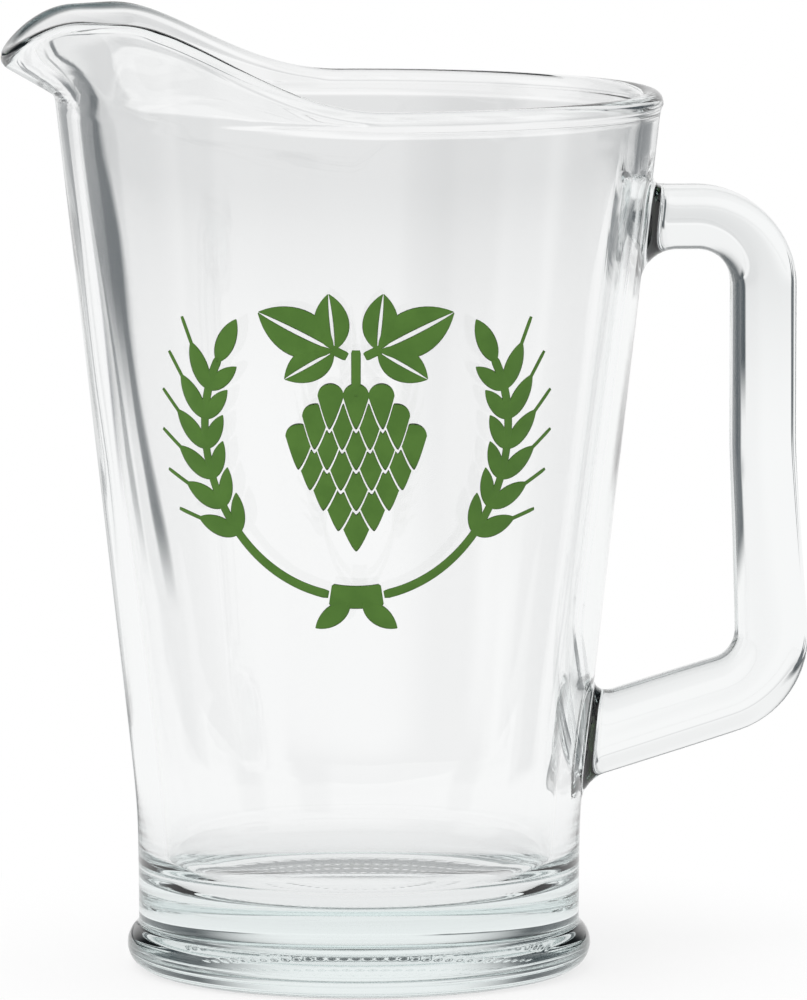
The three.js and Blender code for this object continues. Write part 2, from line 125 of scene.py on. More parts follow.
def add_piece(name, points, faces):
    """A smooth-shaded mesh object at the origin, from points in millimetres."""
    mesh = bpy.data.meshes.new(name)
    mesh.from_pydata((points * MM).tolist(), [], faces)
    mesh.polygons.foreach_set("use_smooth", np.ones(len(mesh.polygons), bool))
    mesh.update()
    piece = bpy.data.objects.new(name, mesh)
    bpy.context.scene.collection.objects.link(piece)
    print(name, "has", len(mesh.vertices), "points and", len(mesh.polygons), "faces")
    return piece


# %% [markdown]
# ## The bowl's wall
#
# The mould gives the bowl a short upright heel that eases into a straight cone, and the plunger that
# presses the glass gives it an inside that narrows the wall towards the top. Both are formulas of
# the height alone, so the wall could be a lathe. The spout isn't round, though, so the bowl is built
# as rings of points and each ring may leave the circle.

# %% Wall formulas
RIM_HEIGHT = 212
RIM_RADIUS = 72.9
HEEL_RADIUS = 53.1
CONE_START = 38
CONE_BLEND = 8
LIP_THICKNESS = 5.4
WALL_THICKNESS = 4.6
HEEL_THICKNESS = 6.5
FLOOR_HEIGHT = 20
FLOOR_FILLET = 10
PULL_DEPTH = 13.7
PULL_HEIGHT = RIM_HEIGHT - PULL_DEPTH
TAPER = (RIM_RADIUS - HEEL_RADIUS) / (RIM_HEIGHT - CONE_START)


def ramp(x):
    """Half a cosine wave from 0 at x = 0 to 1 at x = 1, level beyond both."""
    return 0.5 - 0.5 * np.cos(np.pi * np.clip(x, 0, 1))


def bell(x):
    """Half a cosine wave from 1 at x = 0 down to 0 at x = 1 and x = -1, level beyond both."""
    return 0.5 + 0.5 * np.cos(np.pi * np.clip(np.abs(x), 0, 1))


def blend(start, end, share):
    """The straight mix of two values."""
    return start + (end - start) * share


def wall_radius(z):
    """Outer radius: the heel's radius, plus the taper times a softened height above the cone's start."""
    above = z - CONE_START
    return HEEL_RADIUS + TAPER * (above + np.hypot(above, CONE_BLEND)) / 2


def inner_radius(z):
    """Outer radius less a wall that thins evenly from the floor to where the lip is pulled."""
    share = np.clip((z - FLOOR_HEIGHT) / (PULL_HEIGHT - FLOOR_HEIGHT), 0, 1)
    return wall_radius(z) - blend(HEEL_THICKNESS, WALL_THICKNESS, share)


def around(turn, radius, z):
    """Points on a circle, turned from the spout's direction towards the front."""
    return np.stack(np.broadcast_arrays(-radius * np.cos(turn), -radius * np.sin(turn), z), -1)


print("outer radius at foot, half height and rim:", wall_radius(np.array([0, 106, 212])).round(1))

# %% [markdown]
# ## The spout
#
# While the glass is still soft, the lip is pulled out and up into two wings with a trough between
# them. Seen in any upright slice through the axis, the wall runs up to a corner and from there straight
# to the lip. Round the plain rim the two runs are in line. Towards the spout the second run leans out,
# and how far it reaches and rises are smooth functions of the angle from the spout, so the wings flow
# into the level rim without a break. Each face of the glass gets its own softened corner, because a
# wall that is offset by more than its bend's radius would fold over itself.

# %% Spout slice
SPOUT_REACH = 12.3
SPOUT_HALF_ANGLE = 42
WING_RISE = 18.8
WING_START_ANGLE = 90.5
WING_PEAK_ANGLE = 35
TIP_DIP = 7.8
TIP_HALF_ANGLE = 26
TIP_THICKNESS = 6.2
CORNER_DROP = 2
CORNER_LIFT = 3.2
OUTER_SOFTNESS = 1.4
INNER_SOFTNESS = 3
LIP_HEIGHT = RIM_HEIGHT - LIP_THICKNESS / 2
UP_WALL = np.array([TAPER, 1]) / math.hypot(TAPER, 1)


def unit(vectors):
    """Vectors divided by their length."""
    return vectors / np.linalg.norm(vectors, axis=-1, keepdims=True)


def outward(ways):
    """Slice directions turned a quarter turn away from the axis."""
    return np.stack([ways[..., 1], -ways[..., 0]], -1)


def middle_point(z):
    """Middle of the wall at a height, as distance from the axis and height."""
    return np.stack(np.broadcast_arrays(wall_radius(z) - WALL_THICKNESS / 2, z), -1)


def spout_slice(turn):
    """Corner, lip and lip's half thickness of the wall's middle, in the slice at each turn."""
    angle = np.abs(np.degrees(np.arctan2(np.sin(turn), np.cos(turn))))
    spout = bell(angle / SPOUT_HALF_ANGLE)
    wing = ramp((WING_START_ANGLE - angle) / (WING_START_ANGLE - WING_PEAK_ANGLE))
    rise = WING_RISE * wing - TIP_DIP * bell(angle / TIP_HALF_ANGLE)
    corner = middle_point(LIP_HEIGHT - CORNER_DROP + (CORNER_DROP + CORNER_LIFT) * spout)
    lip = middle_point(LIP_HEIGHT) + np.stack([SPOUT_REACH * spout, rise], -1)
    return corner, lip, blend(LIP_THICKNESS, TIP_THICKNESS, spout) / 2


# %% Spout rings
def soften(distance, softness):
    """Nothing before the corner and the distance after it, joined by a parabola."""
    near = np.clip(distance + softness, 0, 2 * softness)
    return near ** 2 / (4 * softness) + np.maximum(distance - softness, 0)


def pulled_ring(turn, share, side):
    """One face of the pulled wall: up the cone until half way, then out to the lip.

    The two faces' corners lie where the two runs' offset lines cross."""
    corner, lip, lip_half = spout_slice(turn)
    out_wall = outward(UP_WALL)
    out_run = outward(unit(lip - corner))
    mitre = (out_wall + out_run) / (1 + out_run @ out_wall)[:, None]
    face_corner = corner + side * WALL_THICKNESS / 2 * mitre
    face_lip = lip + side * lip_half[:, None] * out_run
    depth = (face_corner[:, 1] - PULL_HEIGHT) / UP_WALL[1]
    length = np.linalg.norm(face_lip - face_corner, axis=1)
    along = depth * min(2 * share - 1, 0) + length * max(2 * share - 1, 0)
    softness = OUTER_SOFTNESS if side > 0 else INNER_SOFTNESS
    below = soften(-along, softness)[:, None] * UP_WALL
    above = soften(along, softness)[:, None] * unit(face_lip - face_corner)
    point = face_corner - below + above
    return around(turn, point[:, 0], point[:, 1])


def lip_ring(turn, angle):
    """One ring of the rounded lip: half a circle in the slice, from the outer face to the inner one."""
    corner, lip, lip_half = spout_slice(turn)
    run = unit(lip - corner)
    point = lip + lip_half[:, None] * (math.cos(angle) * outward(run) + math.sin(angle) * run)
    return around(turn, point[:, 0], point[:, 1])


spout_turn = np.zeros(1)
print("lip at the spout:", lip_ring(spout_turn, np.pi / 2).round(1))
print("lip at the wing:", lip_ring(spout_turn + math.radians(WING_PEAK_ANGLE), np.pi / 2).round(1))

# %% [markdown]
# ## The foot and its underside
#
# A fat bead runs round the foot. Underneath, the glass rises from a standing ring into a shallow dome. The
# dome carries rows of small dots, with short radial ticks outside them, in arcs at the front and the back:
# they keep the hot, new glass from sticking or scuffing on the belt. They show through the thick floor: the
# back half of the dome leans so far that it mirrors, and each dot is a hole in that mirror. They are real
# bumps here, made by moving the rings' points, because glass bends light by its true shape.

# %% Marks under the foot
DOME_RISE = 1.5
STANDING_RADIUS = 47
MARK_HEIGHT = 0.15
DOT_ROWS = 4
DOT_ROW_PITCH = 6.7
DOT_FIRST_ROW = 19
DOTTED_FROM = 17
DOTTED_TO = 41.4
DOT_PITCH = 2.5
DOT_SIZE = 0.6
TICKS = 60
TICK_START = 47.3
TICK_END = 50.2
TICK_SIZE = 0.4
TICK_ARC = 48
DOT_ARC = 70


def nearest(turn, count, shift):
    """Angle to the nearest of evenly spaced marks, in radians."""
    pitch = 2 * np.pi / count
    return (np.mod(turn / pitch + shift + 0.5, 1) - 0.5) * pitch


def in_arcs(turn, half_angle):
    """1 within the half angle of the front or the back, and 0 towards the spout and the handle."""
    return np.abs(np.sin(turn)) > math.cos(math.radians(half_angle))


def dome_height(radius):
    """Height of the underside's dome above the standing ring."""
    return DOME_RISE * max(1 - (radius / STANDING_RADIUS) ** 2, 0)


def underside_ring(turn, radius):
    """A ring of the underside, let down a little at each dot and tick."""
    marks = np.zeros_like(turn)
    for row in range(DOT_ROWS):
        row_radius = DOT_FIRST_ROW + row * DOT_ROW_PITCH
        along = radius * nearest(turn, round(2 * np.pi * row_radius / DOT_PITCH), row / 2)
        marks = np.maximum(marks, np.exp(-((radius - row_radius) ** 2 + along ** 2) / (2 * DOT_SIZE ** 2)))
    marks = marks * in_arcs(turn, DOT_ARC)
    edge = np.clip((radius - TICK_START) / TICK_SIZE, 0, 1) * np.clip((TICK_END - radius) / TICK_SIZE, 0, 1)
    along = radius * nearest(turn, TICKS, 0.5)
    ticks = edge * np.exp(-(along ** 2) / (2 * TICK_SIZE ** 2)) * in_arcs(turn, TICK_ARC)
    marks = np.maximum(marks, ticks)
    return around(turn, radius, dome_height(radius) + MARK_HEIGHT * (1 - marks))


print("marks under the foot:", DOT_ROWS, "rows of dots and", TICKS, "ticks")

# %% [markdown]
# ## The bowl in one skin
#
# The rings run from the middle of the underside out to the foot, round the bead, up the outside, over
# the lip and down the inside to the floor. Rings lie close together where the surface turns sharply,
# and far apart on the straight cone. A low ridge under the lip is the seam between the mould's body and
# its ring.

# %% Bowl rings
WALL_COUNT = 288
UNDERSIDE_COUNT = 2 * WALL_COUNT
FOOT_OVERHANG = 2.8
FOOT_BEAD_RADIUS = 5.9
FOOT_FILLET = 1.2
SEAM_HEIGHT = 208.6
SEAM_WIDTH = 0.35
SEAM_RIDGE = 0.16
SEAM_FREE_ANGLE = 45

wall_turns = np.arange(WALL_COUNT) * 2 * np.pi / WALL_COUNT
fine_turns = np.arange(UNDERSIDE_COUNT) * 2 * np.pi / UNDERSIDE_COUNT


def seam_ridge(ring):
    """Moves a ring outwards by a narrow bell of its height above the seam, but not under the spout."""
    off_spout = np.abs(np.degrees(np.arctan2(ring[:, 1], -ring[:, 0])))
    near = np.exp(-((ring[:, 2] - SEAM_HEIGHT) / SEAM_WIDTH) ** 2)
    height = SEAM_RIDGE * near * ramp(off_spout / SEAM_FREE_ANGLE - 1)
    radial = ring * (1, 1, 0)
    return ring + height[:, None] * unit(radial)


def foot_rings():
    """Bead of the foot: a circle's arc from the standing face up to the heel, and a small fillet there."""
    centre = HEEL_RADIUS + FOOT_OVERHANG - FOOT_BEAD_RADIUS
    bead_end = math.acos((FOOT_BEAD_RADIUS - FOOT_OVERHANG) / FOOT_BEAD_RADIUS)
    fillet_span = FOOT_FILLET / FOOT_BEAD_RADIUS
    angles = np.linspace(-np.pi / 2, bead_end - fillet_span, 26)[2:]
    radii = centre + FOOT_BEAD_RADIUS * np.cos(angles)
    heights = FOOT_BEAD_RADIUS * (1 + np.sin(angles))
    bead_top = FOOT_BEAD_RADIUS * (1 + math.sin(bead_end))
    start = np.array([radii[-1], heights[-1]])
    middle = np.array([HEEL_RADIUS, bead_top])
    end = np.array([wall_radius(bead_top + FOOT_FILLET), bead_top + FOOT_FILLET])
    t = np.linspace(0, 1, 6)[1:, None]
    curve = (1 - t) ** 2 * start + 2 * t * (1 - t) * middle + t ** 2 * end
    profile = np.concatenate([np.stack([radii, heights], 1), curve])
    return [around(wall_turns, radius, z) for radius, z in profile]


def bowl_rings():
    """All rings of the bowl, in order along its skin."""
    dotted = np.linspace(DOTTED_FROM, DOTTED_TO, 46)
    ticked = np.linspace(TICK_START - TICK_SIZE, TICK_END + TICK_SIZE, 10)
    ring_radii = [4, 8, 12, 15, *dotted, 43, 45, *ticked]
    standing = [underside_ring(fine_turns, radius) for radius in ring_radii]
    foot = foot_rings()
    blend_heights = np.linspace(foot[-1][0, 2] + 4, CONE_START + 3 * CONE_BLEND, 14)
    cone_heights = np.linspace(CONE_START + 4 * CONE_BLEND, PULL_HEIGHT, 8)
    outer = [around(wall_turns, wall_radius(z), z) for z in (*blend_heights, *cone_heights)]
    bend = np.linspace(0, 1, 13)[1:]
    shares = np.concatenate([0.5 - 0.5 * (1 - bend) ** 1.5, 0.5 + 0.5 * bend ** 1.5])
    pulled_out = [seam_ridge(pulled_ring(wall_turns, share, 1)) for share in shares]
    lip = [lip_ring(wall_turns, angle) for angle in np.linspace(0, np.pi, 15)[1:-1]]
    pulled_in = [pulled_ring(wall_turns, share, -1) for share in shares[::-2]]
    fillet_top = FLOOR_HEIGHT + FLOOR_FILLET
    inner = [around(wall_turns, inner_radius(z), z) for z in np.linspace(PULL_HEIGHT, fillet_top, 12)]
    fillet_radius = inner_radius(fillet_top) - FLOOR_FILLET
    fillet_turns = np.linspace(0, np.pi / 2, 16)[1:]
    fillet_radii = fillet_radius + FLOOR_FILLET * np.cos(fillet_turns)
    fillet_heights = fillet_top - FLOOR_FILLET * np.sin(fillet_turns)
    fillet = [around(wall_turns, radius, z) for radius, z in zip(fillet_radii, fillet_heights)]
    floor = [around(wall_turns, radius, FLOOR_HEIGHT) for radius in (fillet_radius - 1, 24, 12)]
    return [*standing, *foot, *outer, *pulled_out, *lip, *pulled_in, *inner, *fillet, *floor]


# %% Bowl mesh
pitcher_glass = add_piece("pitcher_glass", *closed_skin(bowl_rings()))

# %% [markdown]
# ## The handle
#
# The handle is a bent bar of glass with nearly flat sides and well rounded edges. Its middle line is four
# straight runs joined by arcs, and a soft rectangle is carried along it: a superellipse, whose sides bulge
# a little and turn into the edges without a line. The half that faces away from the bowl is squarer, so
# that its edges draw finer lines. At each end the bar flares into the wall like a fillet: those rings keep
# an even distance from the wall, so the flare follows the cone.

# %% Handle path
UPPER_ARM_DROP = 31
FINGER_ROOM = 20.5
UPPER_BEND_RADIUS = 16.2
GRIP_LENGTH_STRAIGHT = 56
GRIP_LEAN = math.radians(3)
GRIP_EASE_RADIUS = 160
LOWER_BEND_RADIUS = 15.6
LOWER_ARM_HEIGHT = 55
LOWER_ARM_SLOPE = math.radians(17)
GRIP_THICKNESS = 15.4
LOWER_ARM_THICKNESS = 18.2
HANDLE_WIDTH = 18


def handle_corners():
    """Corner points of the handle's middle line, as distance from the axis and height."""
    upper = RIM_HEIGHT - UPPER_ARM_DROP
    grip = wall_radius(upper) + FINGER_ROOM + GRIP_THICKNESS / 2
    lean_from = upper - GRIP_LENGTH_STRAIGHT
    lean = math.tan(GRIP_LEAN)
    slope = math.tan(LOWER_ARM_SLOPE)
    foot = wall_radius(LOWER_ARM_HEIGHT)
    drop = (lean_from - LOWER_ARM_HEIGHT - slope * (grip - foot)) / (1 + slope * lean)
    return np.array([
        (wall_radius(upper), upper),
        (grip, upper),
        (grip, lean_from),
        (grip + lean * drop, lean_from - drop),
        (foot, LOWER_ARM_HEIGHT),
    ])


def rounded_path(corners, radii):
    """Points along the corners' straight runs, with an arc of the given radius at each inner corner."""
    points = [corners[:1]]
    for corner, before, after, radius in zip(corners[1:], corners, corners[2:], radii):
        back_way = unit(before - corner)
        on_way = unit(after - corner)
        half = math.acos(np.clip(back_way @ on_way, -1, 1)) / 2
        middle = unit(back_way + on_way)
        centre = corner + middle * radius / math.sin(half)
        sweep = np.linspace(half - np.pi / 2, np.pi / 2 - half, 60)[:, None]
        sideways = unit(on_way - back_way)
        points.append(centre + radius * (np.sin(sweep) * sideways - np.cos(sweep) * middle))
    return np.concatenate([*points, corners[-1:]])


path_points = rounded_path(handle_corners(), [UPPER_BEND_RADIUS, GRIP_EASE_RADIUS, LOWER_BEND_RADIUS])
path_steps = np.linalg.norm(np.diff(path_points, axis=0), axis=1)
path_along = np.concatenate([[0], np.cumsum(path_steps)])
HANDLE_LENGTH = path_along[-1]
print("handle's middle line is", round(HANDLE_LENGTH, 1), "mm long")


def path_at(along):
    """Points and unit directions of the middle line at distances along it."""
    def point(s):
        return np.stack([np.interp(s, path_along, path_points[:, k]) for k in (0, 1)], -1)
    step = 0.4
    ahead = np.clip(along + step, 0, HANDLE_LENGTH)
    behind = np.clip(along - step, 0, HANDLE_LENGTH)
    return point(along), unit(point(ahead) - point(behind))


# %% Handle section
OUTER_POWER = 5
INNER_POWER = 3
SECTION_COUNT = 96
section_angles = np.arange(SECTION_COUNT) * 2 * np.pi / SECTION_COUNT


def squared(wave, power):
    """A cosine or sine wave drawn towards its peaks, which squares a circle into a soft rectangle."""
    return np.sign(wave) * np.abs(wave) ** (2 / power)


def section_ring(outer, inner, side):
    """Across and sideways offsets of a soft rectangle whose outer half is squarer than its inner half."""
    wave = np.cos(section_angles)
    power = np.where(wave > 0, OUTER_POWER, INNER_POWER)
    across = np.where(wave > 0, outer, inner) * squared(wave, power)
    return across, -side * squared(np.sin(section_angles), power)


# %% Handle rings
UPPER_FILLETS = {"outer": 3.5, "inner": 8, "side": 5.5}
LOWER_FILLETS = {"outer": 5, "inner": 5.5, "side": 4}
ROOT_DEPTH = 1.6
TANGENT_DEPTH = 0.12
ROOT_SKEW = 0.5
SEATING_PASSES = 8


def bar_thickness(along):
    """Thickness of the bar: even along the grip, growing into the lower arm."""
    return blend(GRIP_THICKNESS, LOWER_ARM_THICKNESS, ramp(2 * along / HANDLE_LENGTH - 0.8))


def flare(distance, radius):
    """How far a fillet of this radius stands off the bar at this distance from the wall."""
    inside = radius - np.clip(distance + TANGENT_DEPTH, 0, radius)
    return radius - np.sqrt(radius ** 2 - inside ** 2)


def bar_ring(along):
    """The section across the middle line, at a distance along it."""
    centre, way = path_at(along)
    half = bar_thickness(along) / 2
    across, sideways = section_ring(half, half, HANDLE_WIDTH / 2)
    return np.stack([centre[0] - way[1] * across, sideways, centre[1] + way[0] * across], 1)


def root_ring(along, fillets, distance):
    """The flared section at a root, slid along the arm until each point is this far from the wall."""
    centre, way = path_at(along)
    half = bar_thickness(along) / 2
    across, sideways = section_ring(
        half + flare(distance, fillets["outer"]),
        half + flare(distance, fillets["inner"]),
        HANDLE_WIDTH / 2 + flare(distance, fillets["side"]),
    )
    ring = np.stack([centre[0] - way[1] * across, sideways, centre[1] + way[0] * across], 1)
    away = np.array([way[0], 0, way[1]]) * np.sign(way[0])
    for _ in range(SEATING_PASSES):
        short = distance - (np.hypot(ring[:, 0], ring[:, 1]) - wall_radius(ring[:, 2]))
        ring = ring + short[:, None] * away
    return ring


def root_rings(along, fillets):
    """Rings of one root, from inside the wall out to where the fillets end."""
    reach = max(fillets.values())
    inside = [root_ring(along, fillets, -ROOT_DEPTH)]
    outside = [root_ring(along, fillets, reach * share ** 2) for share in np.linspace(0, 1, 16)]
    return inside + outside


def handle_rings():
    """All rings of the handle, from the upper root along the bar to the lower root."""
    start = max(UPPER_FILLETS.values()) + ROOT_SKEW * LOWER_ARM_THICKNESS / 2
    end = HANDLE_LENGTH - max(LOWER_FILLETS.values()) - ROOT_SKEW * LOWER_ARM_THICKNESS / 2
    bar = [bar_ring(along) for along in np.linspace(start, end, 110)]
    lower = root_rings(np.float64(HANDLE_LENGTH), LOWER_FILLETS)
    return [*root_rings(np.float64(0), UPPER_FILLETS), *bar, *lower[::-1]]


handle_bar = add_piece("handle_bar", *closed_skin(handle_rings()))

# %% [markdown]
# ## One body of glass
#
# On the real pitcher no boundary is left between the bar and the wall: they were fused hot. Light would
# bend at a boundary, so the two meshes are made one with a Boolean modifier, applied at once, and the
# spare bar is deleted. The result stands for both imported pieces.

# %% Fuse the handle to the bowl
fuse = pitcher_glass.modifiers.new("fuse", "BOOLEAN")
fuse.operation = "UNION"
fuse.solver = "EXACT"
fuse.object = handle_bar
fused_mesh = bpy.data.meshes.new_from_object(
    pitcher_glass.evaluated_get(bpy.context.evaluated_depsgraph_get())
)
pitcher_glass.modifiers.clear()
pitcher_glass.data = fused_mesh
fused_mesh.polygons.foreach_set("use_smooth", np.ones(len(fused_mesh.polygons), bool))
bpy.data.objects.remove(handle_bar)
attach(pitcher_glass, "root")
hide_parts("bowl", "handle")
print("fused glass has", len(fused_mesh.vertices), "points")

# %% [markdown]
# ## The lip's painted shade
#
# Light that enters the rounded lip of the spout runs lengthwise in the glass before it leaves, so the lip
# looks darker and deeper in colour than the wall. Here that darkening is painted shade: the lip's surface
# colour is darkened instead. The painted shade lies on the inner side of the rounding and is strongest on
# the two wings. It is kept as a number at each point of the mesh, which the glass material reads.

# %% Lip depth
DARKEST_LIP_ANGLE = 30
CLEAR_ANGLE = 85
LIP_SHADE_FROM = 0.2
LIP_SHADE_TO = 0.5
LIP_SHADE_OUTWARD = 0.3


def lip_painted_shade(points):
    """Painted shade: 1 on the inner side of the lip at the wings, 0 on the wall and round the plain rim."""
    turn = np.arctan2(-points[:, 1], -points[:, 0])
    corner, lip, lip_half = spout_slice(turn)
    run = unit(lip - corner)
    here = np.stack([np.hypot(points[:, 0], points[:, 1]), points[:, 2]], -1)
    offset = (here - lip) / lip_half[:, None]
    up = np.sum(offset * run, axis=1)
    out = np.sum(offset * outward(run), axis=1)
    wing = ramp((CLEAR_ANGLE - np.abs(np.degrees(turn))) / (CLEAR_ANGLE - DARKEST_LIP_ANGLE))
    return wing * ramp((up - LIP_SHADE_FROM) / (LIP_SHADE_TO - LIP_SHADE_FROM)) * ramp(0.5 - out / (2 * LIP_SHADE_OUTWARD))


# Each point's share of the lip's painted shade is stored for the glass material to read.
fused_points = np.empty((len(fused_mesh.vertices), 3), np.float32)
fused_mesh.vertices.foreach_get("co", fused_points.ravel())
lip_shade_shares = lip_painted_shade(fused_points / MM)
lip_shade_layer = fused_mesh.attributes.new("lip_painted_shade", "FLOAT", "POINT")
lip_shade_layer.data.foreach_set("value", lip_shade_shares.astype(np.float32))
print("points with a deeper colour:", int((lip_shade_shares > 0.5).sum()))

# %% [markdown]
# ## The fired print
#
# The print is a thin film of green glass paste, screened onto the front and fired until it melts to the
# wall. It shows two ears of barley, tied below a hop cone and its leaves. A film follows the wall, so each
# shape is drawn flat, as a grid along and across a leaf, and then rolled onto the cone. Its edges thin
# out to nothing, as melted enamel does, and its back lies just inside the glass it is fused to.

# %% Film formulas
PRINT_HEIGHT = 131
PRINT_TURN = math.radians(-5)
FILM_THICKNESS = 0.12
FILM_DEPTH = 0.05
BLADE_STEPS = 16
FILM_STEPS = 6
BLADE_INSET = 0.015
ROOT_BULGE = (0.22, 0.62)
TIP_BULGE = (0.72, 0.55)
VEIN_SHARE = 0.09
STRIP_END = 0.8


def roll_on(u, v, height):
    """Flat print to wall: u becomes an angle round the axis, v a height, and the film stands off it."""
    turn = PRINT_TURN + u / wall_radius(PRINT_HEIGHT)
    z = PRINT_HEIGHT + v
    radius = wall_radius(z) + height
    return np.stack([radius * np.sin(turn), -radius * np.cos(turn), z], -1)


def film_loop(low, high):
    """Across and height of a film's section: a low arch over a flat back, between two edges."""
    arch = np.linspace(0, np.pi, FILM_STEPS + 1)
    across = np.concatenate([np.cos(arch), -np.cos(arch[1:-1])])
    height = np.concatenate([np.sin(arch) ** 0.5, np.zeros(FILM_STEPS - 1)])
    middle = (low + high) / 2
    return middle + (high - low) / 2 * across, blend(-FILM_DEPTH, FILM_THICKNESS, height)


def film_rings(spine, across, half_widths, low=-1, high=1):
    """Rings of a film along a flat spine, between two shares of its half width."""
    offset, height = film_loop(low, high)
    flat = spine[:, None, :] + across[:, None, :] * (half_widths[:, None] * offset)[..., None]
    return list(roll_on(flat[..., 0], flat[..., 1], height + 0 * flat[..., 0]))


def blade_films(root, angle, length, width, veined=False):
    """A pointed blade: half width and place along it are cubic curves; a vein splits it in two films."""
    t = np.linspace(BLADE_INSET, 1 - BLADE_INSET, BLADE_STEPS)
    near_root = 3 * t * (1 - t) ** 2
    near_tip = 3 * t ** 2 * (1 - t)
    along = length * (ROOT_BULGE[0] * near_root + TIP_BULGE[0] * near_tip + t ** 3)
    half = width * (ROOT_BULGE[1] * near_root + TIP_BULGE[1] * near_tip)
    way = np.array([math.cos(angle), math.sin(angle)])
    across = np.broadcast_to([-way[1], way[0]], (BLADE_STEPS, 2))
    spine = np.asarray(root) + along[:, None] * way
    sides = [(VEIN_SHARE, 1), (-1, -VEIN_SHARE)] if veined else [(-1, 1)]
    return [film_rings(spine, across, half, low, high) for low, high in sides]


def strip_film(points, width):
    """A strip of even width along a list of flat points, a little drawn in at both ends."""
    ways = unit(np.gradient(points, axis=0))
    across = np.stack([-ways[:, 1], ways[:, 0]], 1)
    taper = np.ones(len(points))
    taper[[0, -1]] = STRIP_END
    return film_rings(points, across, taper * width / 2)


def add_films(name, node, films):
    """One piece of print from its films: each is a closed skin, and all share one mesh."""
    points = []
    faces = []
    count = 0
    for rings in films:
        film_points, film_faces = closed_skin(rings)
        points.append(film_points)
        faces += [[count + corner for corner in face] for face in film_faces]
        count += len(film_points)
    piece = add_piece(name, np.concatenate(points), faces)
    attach(piece, "root")
    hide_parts(node)
    return piece


# %% [markdown]
# ### Barley and tie
#
# An ear of barley is a stalk along half a wreath with pairs of grains, and the outer grains carry awns. A
# band ties the two stalks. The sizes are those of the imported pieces, so each film lies where its packed
# piece is.

# %% Barley and tie
STALK_WIDTH = 2.2
WREATH_RADIUS = 37.5
WREATH_RISE = 3.5
HEAD_FROM = -38
HEAD_TO = 28
STALK_OVERLAP = 2
GRAIN_LENGTH = 12.2
GRAIN_WIDTH = 5.4
GRAIN_PAIRS = 6
GRAIN_SPREAD = math.radians(36)
INNER_GRAIN_SHARE = 0.82
AWN_LENGTH = 6
AWN_WIDTH = 1
TIE_HALF_ANGLE = 10
TIE_WIDTH = 5.6
TAIL_LENGTH = 11
TAIL_WIDTH = 5.6
TAIL_SPREAD = 56
PRINT_GAP = 0.4


def on_wreath(side, degrees):
    """A point of the wreath: a circle, mirrored by the side."""
    angle = np.radians(degrees)
    across = side * WREATH_RADIUS * np.cos(angle)
    return np.stack([across, WREATH_RISE + WREATH_RADIUS * np.sin(angle)], -1)


def barley_films(side):
    """Stalk, grains and awns of one ear. A grain leaves the stalk at the spread angle."""
    stalk_from = -90 + TIE_HALF_ANGLE + math.degrees(PRINT_GAP / WREATH_RADIUS)
    stalk_angles = np.linspace(stalk_from, HEAD_TO + STALK_OVERLAP, 60)
    films = [strip_film(on_wreath(side, stalk_angles), STALK_WIDTH)]
    for degrees in np.linspace(HEAD_FROM, HEAD_TO, GRAIN_PAIRS + 1)[:-1]:
        root = on_wreath(side, degrees)
        way = math.radians(90 + side * degrees)
        outer = way - side * GRAIN_SPREAD
        inner = way + side * GRAIN_SPREAD
        films += blade_films(root, outer, GRAIN_LENGTH, GRAIN_WIDTH)
        films += blade_films(root, inner, GRAIN_LENGTH * INNER_GRAIN_SHARE, GRAIN_WIDTH * INNER_GRAIN_SHARE)
        reach = np.linspace(GRAIN_LENGTH / 2, GRAIN_LENGTH + AWN_LENGTH, 10)[:, None]
        films.append(strip_film(root + reach * (math.cos(outer), math.sin(outer)), AWN_WIDTH))
    end_way = math.radians(90 + side * HEAD_TO)
    return films + blade_films(on_wreath(side, HEAD_TO), end_way, GRAIN_LENGTH, GRAIN_WIDTH)


def tie_films():
    """A band along the lowest stretch of the wreath, with two tails."""
    band = on_wreath(1, np.linspace(-90 - TIE_HALF_ANGLE, -90 + TIE_HALF_ANGLE, 24))
    films = [strip_film(band, TIE_WIDTH)]
    for side in (-1, 1):
        root = (side * TIE_WIDTH / 4, WREATH_RISE - WREATH_RADIUS - TIE_WIDTH / 4)
        films += blade_films(root, math.radians(-90 + side * TAIL_SPREAD), TAIL_LENGTH, TAIL_WIDTH)
    return films


# %% [markdown]
# ### Hop cone and leaves
#
# A hop cone is rows of overlapping scales. On a print the scales are parted by lines of bare glass, so each
# one is cut back to what the rows above leave free: at each place across the scale, its film reaches from
# its own lower edge up to the nearest lower edge above it, less the width of the line. A hop leaf has three
# lobes, each parted by a vein.

# %% Hop cone
CONE_TOP = 14
STEM_LENGTH = 11
SCALE_COUNTS = [3, 4, 5, 4, 3, 2, 1]
SCALE_PITCH = 4.85
SCALE_LENGTH = 8
SCALE_RISE = 3.2
FIRST_SCALE_HALF = 2.9
LAST_SCALE_HALF = 4.1
SCALE_OVERLAP = 1.04
SCALE_LEAN = 0.22
SCALE_POINTEDNESS = 1.35
SCALE_LINE = 0.8
SCALE_STEPS = 30


def row_scales(row):
    """Middle, half width and lean of each scale in a row."""
    count = SCALE_COUNTS[row]
    half = blend(FIRST_SCALE_HALF, LAST_SCALE_HALF, row / (len(SCALE_COUNTS) - 1))
    places = 2 * np.arange(count) - count + 1
    return [(place * half, half * SCALE_OVERLAP, SCALE_LEAN * place / count) for place in places]


def lower_edge(u, row, scale):
    """Height of a scale's lower edge at each u: a pointed arch down to its tip, and far up outside it."""
    middle, half, lean = scale
    x = (u - middle) / half
    from_tip = np.where(x > lean, (x - lean) / (1 - lean), (lean - x) / (1 + lean))
    arch = SCALE_LENGTH * (1 - np.clip(from_tip, 0, 1) ** SCALE_POINTEDNESS)
    return np.where(np.abs(x) <= 1, CONE_TOP - row * SCALE_PITCH - arch, np.inf)


